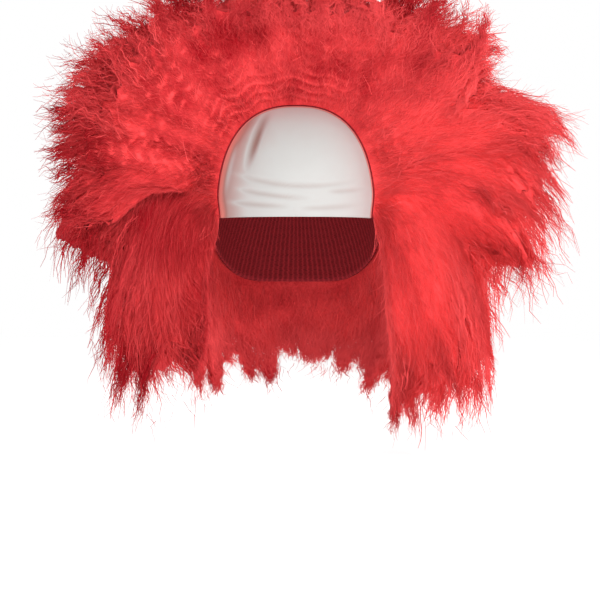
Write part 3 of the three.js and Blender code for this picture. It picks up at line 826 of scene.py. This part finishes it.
def ribbons(points, normals, width, bucket):
    """Flat ribbons along points (strands, steps, 3): corners, faces and places on the plan."""
    strands, steps = points.shape[:2]
    along = unit(np.gradient(points, axis=1))
    across = unit(np.cross(along, normals)) * width[..., None] / 2
    corners = np.stack([points - across, points + across], axis=2).reshape(-1, 3)
    first = (np.arange(strands)[:, None] * steps + np.arange(steps - 1)).ravel() * 2
    quads = np.stack([first, first + 1, first + 3, first + 2], axis=-1)
    u = (bucket[:, None, None] + np.array((0.06, 0.94))) / BUCKETS
    v = np.linspace(0.01, 0.99, steps)[None, :, None]
    places = np.stack(np.broadcast_arrays(u, v), axis=-1).reshape(-1, 2)
    return corners, quads, places


def to_bucket(value):
    """Number of the shade on the plan that a lightness falls in."""
    return np.clip(np.floor(value * BUCKETS), 0, BUCKETS - 1)


def fibres(chooser, column, ring, start, end, on_face, overhang, look, lean):
    """Fine crinkled fibres, from start to end as shares of the reach of the tuft they end in."""
    thick, steps, spread, kinks = look
    count = len(column)
    chance = chooser.uniform(-1, 1, (count, 6))
    slant = chooser.normal(0, 1, (count, 2))
    way = np.linspace(0, 1, steps)[None, :]
    middle, centre, half, reach, own = tuft_of(column, ring)
    off = (column - middle) / half
    end = end * (1 - 0.13 * np.abs(off) ** 1.5 * smoothstep(end, 0.75, 0.95))
    end = np.maximum(end, start + 0.03)
    out = start[:, None] + (end - start)[:, None] * way
    length = out * reach[:, None]
    # Two in three close up to the point of their tuft, and the tufts lean to the lock's middle
    closing = np.where(chance[:, 2:3] > 0.3, 0.40, 0.94)
    pull = smoothstep(out, 0.66, 0.98) * closing
    # At the nape the ends hang straight and loose
    at_nape = smoothstep(np.abs(wrap_column(column)), 23, 25.5) * (1 - smoothstep(ring, 0.1, 0.4))
    plain = 1 - 0.75 * at_nape[:, None]
    pull = pull * plain
    path = column[:, None] - (off * half)[:, None] * pull
    lock = lock_middle(column, ring)[0]
    path = path + 0.35 * (lock - middle)[:, None] * smoothstep(out, 0.62, 1.05) * plain
    hook = (own[1][:, None] - 0.5) * 1.8 * smoothstep(out, 0.72, 1.05) ** 2 * plain
    path = path + hook + 0.16 * drift(middle[:, None] * 5, length * 17, 9.0) * pull
    path = path + spread * slant[:, :1] * (length - start[:, None] * reach[:, None])
    # Under the overhang at the left the fibres fall straight down
    falling = smoothstep(-column, 14, 15) * (1 - smoothstep(-column, 19, 22.5))
    path = path - 5 * (falling * (start < 0.62))[:, None] * (out - start[:, None])
    path = path + 0.07 * drift(chance[:, :1] * 30 + length * 20, chance[:, 1:2] * 30, 5.0)
    rise = ring[:, None] + (centre - ring)[:, None] * 0.8 * pull - lean[:, None] * way**2
    rise = rise + 0.035 * (own[2][:, None] - 0.5) * smoothstep(out, 0.8, 1.05)
    right = smoothstep(wrap_column(column), 3, 9)
    if on_face:
        even = 1 - 0.5 * right[:, None]
        layer = 0.0002 + 0.0017 * even * (0.5 + 0.5 * chance[:, 2:3]) * (0.3 + way)
        layer = layer + 0.0020 * np.abs(slant[:, 1:]) * way**3
    else:
        rise = rise + 0.008 * slant[:, 1:] * way
        layer = np.zeros_like(length)
    rise = np.maximum(rise, 0.0)
    points, front = hair_place(path, rise, length, layer, on_face, overhang)
    along = unit(np.gradient(points, axis=1))
    aside = np.cross(along, front)
    zigzag = np.where(np.arange(steps) % 2 == 0, 1.0, -1.0)[None, :] * (0.4 + 0.6 * way)
    zigzag = zigzag * np.sign(chance[:, :1])
    kink = kinks * (1 + 0.8 * chance[:, 3:4]) * zigzag
    # The fibres of a tuft keep the wave of the crimping iron and still lie nearly in step
    turns = length * 13 + own[2][:, None] * 7 + 0.12 * chance[:, 5:6]
    kink = kink + END_WAVE * np.sin(2 * math.pi * turns) * smoothstep(out, 0.6, 0.95)
    points = points + aside * kink[..., None]
    stray = smoothstep(out, 0.85, 1.1) * END_STRAY
    wander = stray * drift(chance[:, 4:5] * 9 + way * 4, chance[:, 5:6] * 9, 6.0)
    points = points + aside * wander[..., None]
    if on_face:
        facing = front
    else:
        facing = unit(unit(points - HAIR_MIDDLE) + 0.7 * front)
    twist = (chance[:, 4:5] * (0.40 - 0.15 * right[:, None]))[..., None]
    facing = facing * np.cos(twist) + np.cross(along, facing) * np.sin(twist)
    width = thick * (0.8 + 0.3 * chance[:, 5:6]) * (1 - 0.6 * way**4)
    width = width * (0.5 + 0.5 * smoothstep(way, 0, 0.15))
    uneven = 0.10 - 0.06 * right
    shade = tone(column, ring, (0.3 * start + 0.7 * end) * reach) + uneven * chance[:, 3]
    return ribbons(points, facing, width, to_bucket(shade))


def even_places(chooser, first, last, low, high, count):
    """Columns and rings spread evenly over the outside of a piece."""
    tries = 5 * count
    column = chooser.uniform(first, last, tries)
    ring = chooser.uniform(low, high, tries)
    here = guide_controls(column, ring)[2]
    aside = guide_controls(column + 0.1, ring)[2] - here
    above = guide_controls(column, np.minimum(ring + 0.005, 1.0))[2] - here
    room = np.linalg.norm(np.cross(aside, above), axis=-1) + 1e-12
    # Closer together next to the front face, where they make the outline
    room = room * (1 + 1.2 * (1 - smoothstep(ring, 0.2, 0.4)))
    kept = chooser.choice(tries, count, replace=False, p=room / room.sum())
    return column[kept], ring[kept]


def face_fibres(chooser, first, last, overhang, count):
    """Short fibres that lie over one another on the front face."""
    column = chooser.uniform(first, last, count)
    # More of them further out, where the face is wider, and shorter ones where it is crimped
    start = chooser.random(count) ** 0.62 * 0.87
    start = np.where(chooser.random(count) < 0.1, 0.15 * chooser.random(count), start)
    crimped = (1 - smoothstep(column, 3, 7)) * (1 - smoothstep(-column, 11.5, 13.5))
    size = (0.05 + 0.06 * chooser.random(count)) * (1 - 0.3 * crimped)
    size = size * (1 - 0.45 * np.clip(left_wefts(column, start), 0, 1))
    ring = 0.01 * chooser.random(count) * smoothstep(start, 0.5, 0.9)
    at_nape = smoothstep(column, 23, 25)
    size = size * (1 + at_nape)
    look = FIBRE_LYING if last < 30 else FIBRE_LYING_AT_NAPE
    still = np.zeros(count)
    return fibres(chooser, column, ring, start, start + size, True, overhang, look, still)


def tuft_fibres(chooser, first, last, overhang, count):
    """Fibres at the outline of the front face."""
    column = chooser.uniform(first, last, count)
    ring = 0.05 * chooser.random(count) ** 1.5
    start = 0.60 + 0.24 * chooser.random(count)
    end = 1 + 0.03 * chooser.normal(0, 1, count) - 0.10 * chooser.random(count) ** 2
    still = np.zeros(count)
    return fibres(chooser, column, ring, start, end, True, overhang, FIBRE_OF_TUFT, still)


def outer_fibres(chooser, first, last, low, high, count):
    """Fibres that end in tufts all over the outside."""
    column, ring = even_places(chooser, first, last, low, high, count)
    start = 0.68 + 0.18 * chooser.random(count)
    end = 1 + 0.03 * chooser.normal(0, 1, count) - 0.12 * chooser.random(count) ** 2
    lean = 0.01 + 0.06 * smoothstep(ring, 0.2, 0.6) * (0.5 + chooser.random(count))
    return fibres(chooser, column, ring, start, end, False, 0.0, FIBRE_OUTSIDE, lean)


def loose_fibres(chooser, first, last, low, high, face_share, overhang, count):
    """Short curled fibres that stand off the others in every direction."""
    column, ring = even_places(chooser, first, last, low, high, count)
    on_face = chooser.random(count) < face_share
    ring = np.where(on_face, 0.0, ring)
    reach = lock_length(column, ring)
    all_over = chooser.uniform(0.05, 1, count)
    near_ends = chooser.uniform(0.8, 0.95, count)
    length = np.where(on_face, all_over, near_ends) * reach
    pair = np.stack([length, length + 0.02], axis=1)
    spots, front = hair_place(column[:, None], ring[:, None], pair, 0.001, True, overhang)
    along = unit(spots[:, 1] - spots[:, 0])
    front = front[:, 0]
    aside = np.cross(along, front)
    heading = along + aside * chooser.normal(0, 0.6, (count, 1))
    heading = unit(heading + front * chooser.normal(0.1, 0.3, (count, 1)))
    curl = aside * chooser.normal(0, 1, (count, 1))
    curl = curl + front * chooser.normal(0, 0.5, (count, 1))
    size = LOOSE_SHORTEST + LOOSE_LONGER * chooser.random((count, 1)) ** 2
    way = np.linspace(0, 1, LOOSE_POINTS)[None, :, None]
    trail = spots[:, :1] + heading[:, None] * size[:, None] * way
    trail = trail + curl[:, None] * size[:, None] * 0.25 * way**2
    zigzag = np.where(np.arange(LOOSE_POINTS) % 2 == 0, 1.0, -1.0)[None, :, None]
    trail = trail + aside[:, None] * zigzag * LOOSE_KINK
    facing = unit(front + 0.4 * aside * chooser.normal(0, 1, (count, 1)))
    facing = np.broadcast_to(facing[:, None], trail.shape)
    width = np.broadcast_to(LOOSE_WIDTH - LOOSE_TAPER * way[..., 0], trail.shape[:2])
    shade = tone(column, ring, length) + 0.15 * chooser.normal(0, 1, count)
    return ribbons(trail, facing, width, to_bucket(shade))


def body_of_piece(first, last, low, high, face_rows, overhang):
    """Closed felted body of a piece: corners, faces, places on the plan, tones and flow."""
    on_face = low == 0.0
    # The bodies reach a little into one another and are tucked under there, so that no slit
    # opens between them
    top = 0.997 if high == 1.0 else high + RING_OVERLAP
    bottom = FACE_DEPTH if on_face else low - RING_OVERLAP
    whole = last - first == 2 * SIDE_COLUMNS
    cells_across = (last - first) * (FACE_CELLS if on_face else OUTSIDE_CELLS)
    border = (first, last, low, high)
    if not whole:
        first, last = first - COLUMN_OVERLAP, last + COLUMN_OVERLAP
    columns = np.linspace(first, last, cells_across + 1)
    rings = np.linspace(bottom, top, max(int((top - bottom) * RING_CELLS), 6))
    few = np.linspace(0, 1, SIDE_CELLS + 1)
    lengths = np.linspace(0, 1, face_rows + 1) if on_face else few
    sides = []

    def add_side(one_way, other_way, arrange, flip, cell, fine=on_face):
        column, ring, share = arrange(*np.meshgrid(one_way, other_way, indexing="ij"))
        # The front face ends in the points of its tufts. Behind it every corner reaches its own
        # way out, so that the outside is shaggy and not a shell.
        middle, _, half, tuft_reach, _ = tuft_of(column, ring)
        off = np.clip(np.abs(column - middle) / half, 0, 1)
        between = lock_length(column, ring) * fray(column, ring) * 0.98
        pointed = between + (tuft_reach - between) * (1 - off * off)
        even = (0.72 + 0.05 * smoothstep(ring, 0.08, 0.35)) * fray(column, ring)
        even = even * lock_length(column, ring, NOTCH_OF_FELT)
        pointed = np.maximum(pointed * (0.84 - 0.06 * off**1.5), even)
        reach = pointed + (even - pointed) * smoothstep(ring, 0.02, 0.09)
        shag = np.mod(np.sin(wrap_column(column) * 91.7 + ring * 1373.1) * 9631.7, 1) - 0.5
        shag = 2 * SHAG * shag * (0.25 + 0.75 * smoothstep(ring, 0.05, 0.16))
        reach = reach * (1 + 0.03 * drift(column * 5.3, ring * 90, 11.0) + shag)
        reach = reach * (1 - 0.14 * smoothstep(np.abs(wrap_column(column)), 23.5, 25.0))
        past = np.maximum(border[0] - column, column - border[1]) / COLUMN_OVERLAP
        if whole:
            past = np.zeros_like(column)
        past = np.maximum(past, np.maximum(border[2] - ring, ring - border[3]) / RING_OVERLAP)
        reach = reach * (1 - 0.05 * np.clip(past, 0, 1))
        length = share * reach
        rough = 0.0007 * drift(column * 19, length * 80 + ring * 300, 14.0)
        rough = rough * smoothstep(length, 0, 0.1)
        points = hair_place(column, ring, length, rough, fine, overhang)[0]
        u0, v0, wide, tall = cell
        u = u0 + wide * (0.01 + 0.98 * (one_way - one_way[0]) / (one_way[-1] - one_way[0]))
        v = v0 + tall * (0.01 + 0.98 * (other_way - other_way[0]) / (other_way[-1] - other_way[0]))
        places = np.stack(np.meshgrid(u, v, indexing="ij"), axis=-1).reshape(-1, 2)
        quads = grid_quads(len(one_way), len(other_way))
        # The flow counts about metres: across the columns, along the hair and over the rings
        flow = stack(column * 0.018, length * 0.21, ring * 0.3)
        sides.append((
            points.reshape(-1, 3),
            quads[:, ::-1] if flip else quads,
            places,
            tone(column, ring, length).ravel(),
            flow.reshape(-1, 3),
        ))

    def at_ends(column, ring):
        return column, ring, np.ones_like(column)

    def at_roots(column, ring):
        return column, ring, np.zeros_like(column)

    def at_ring(ring):
        return lambda column, share: (column, np.full_like(column, ring), share)

    def at_column(column):
        return lambda ring, share: (np.full_like(ring, column), ring, share)

    # Each side has its own cell of the plan: left, bottom, width and height
    add_side(columns, rings, at_ends, False, (0, 0.52, 1, 0.3))
    add_side(columns, lengths, at_ring(bottom), True, (0, 0, 1, 0.5))
    add_side(columns, few, at_ring(top), False, (0, 0.84, 0.48, 0.15), fine=False)
    add_side(columns, rings, at_roots, True, (0.5, 0.84, 0.2, 0.15), fine=False)
    if not whole:
        add_side(rings, lengths, at_column(first), False, (0.72, 0.84, 0.12, 0.15))
        add_side(rings, lengths, at_column(last), True, (0.86, 0.84, 0.12, 0.15))
    return sides


def fibre_streak_group():
    """Fine streaks that lie along the fibre, from a place, the lightness there and a strength."""
    group = bpy.data.node_groups.new("fibre_streaks", "ShaderNodeTree")
    group.interface.new_socket("Place", in_out="INPUT", socket_type="NodeSocketVector")
    for name in ("Tone", "Contrast"):
        group.interface.new_socket(name, in_out="INPUT", socket_type="NodeSocketFloat")
    for name in ("Tone", "Height"):
        group.interface.new_socket(name, in_out="OUTPUT", socket_type="NodeSocketFloat")
    inside = group.nodes.new("NodeGroupInput")
    outside = group.nodes.new("NodeGroupOutput")
    streak = add_node(group, "TexNoise", Scale=1, Detail=2, Roughness=0.6, Distortion=0.6)
    connect(inside, "Place", streak, "Vector")
    centred = add_node(group, "Math")
    centred.operation = "SUBTRACT"
    centred.inputs[1].default_value = 0.5
    connect(streak, "Fac", centred, 0)
    added = add_node(group, "Math")
    added.operation = "MULTIPLY_ADD"
    connect(centred, "Value", added, 0)
    connect(inside, "Contrast", added, 1)
    connect(inside, "Tone", added, 2)
    connect(added, "Value", outside, "Tone")
    connect(streak, "Fac", outside, "Height")
    return group


fibre_streaks = fibre_streak_group()


def hair_finish(name, dark, bright, felted, spread, contrast, strength):
    """Dyed fibre: the felt takes its tone and its flow from the mesh, fibres from their plan."""
    finish = new_finish(name, Roughness=0.6, Specular_IOR_Level=0.08)
    tree = finish.node_tree
    streaks = add_node(tree, "Group")
    streaks.node_tree = fibre_streaks
    set_inputs(streaks, Contrast=contrast)
    scaled = add_node(tree, "Mapping", Scale=spread)
    if felted:
        flow = add_node(tree, "Attribute")
        flow.attribute_name = "flow"
        connect(flow, "Vector", scaled, "Vector")
        shade = add_node(tree, "Attribute")
        shade.attribute_name = "tone"
        connect(shade, "Fac", streaks, "Tone")
    else:
        plan = add_node(tree, "UVMap")
        plan.uv_map = "OFBake"
        connect(plan, "UV", scaled, "Vector")
        parts = add_node(tree, "SeparateXYZ")
        connect(plan, "UV", parts, "Vector")
        connect(parts, "X", streaks, "Tone")
    connect(scaled, "Vector", streaks, "Place")
    add_tint(streaks, "Tone", (0.15, dark), (0.85, bright))
    add_relief(streaks, "Height", strength, 0.0008)
    return finish


def joined(parts):
    """Joins meshes of corners, faces and values at the corners into one."""
    offsets = np.cumsum([0] + [len(part[0]) for part in parts[:-1]])
    moved = [(part[0], part[1] + offset, *part[2:]) for part, offset in zip(parts, offsets)]
    return [np.concatenate(same_kind) for same_kind in zip(*moved)]


DARK_RED = (0.40, 0.003, 0.011, 1)
BRIGHT_RED = (1.0, 0.108, 0.112, 1)
DEEP_RED = (0.36, 0.0025, 0.0095, 1)
FULL_RED = (0.92, 0.076, 0.080, 1)
fibre_red = hair_finish("fibre_red", DARK_RED, BRIGHT_RED, False, (200, 20, 1), 0.3, 0.3)
felt_red = hair_finish("felt_red", DEEP_RED, FULL_RED, True, (1100, 190, 700), 0.6, 0.45)

for number, row in enumerate(HAIR_PIECES):
    name, node, first, last, low, high, lying, ending, standing, loose = row
    chooser = np.random.default_rng(700 + number)
    in_front = node == "front_hair"
    overhang = OVERHANG if in_front else 0.0
    face_rows = 72 if in_front else 60
    face_share = 0.7 if in_front else 0.4 if lying else 0.0
    # The felted body, and on it the fibres as flat ribbons
    sides = body_of_piece(first, last, low, high, face_rows, overhang)
    body = add_mesh(name.replace("locks", "felt"), felt_red, *joined(sides))
    parts = [outer_fibres(chooser, first, last, low, high, standing)]
    if lying:
        parts.append(face_fibres(chooser, first, last, overhang, lying))
        parts.append(tuft_fibres(chooser, first, last, overhang, ending))
    parts.append(loose_fibres(chooser, first, last, low, high, face_share, overhang, loose))
    strands = add_mesh(name, fibre_red, *joined(parts))
    for piece in (body, strands):
        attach(piece, "root")
        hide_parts(node)
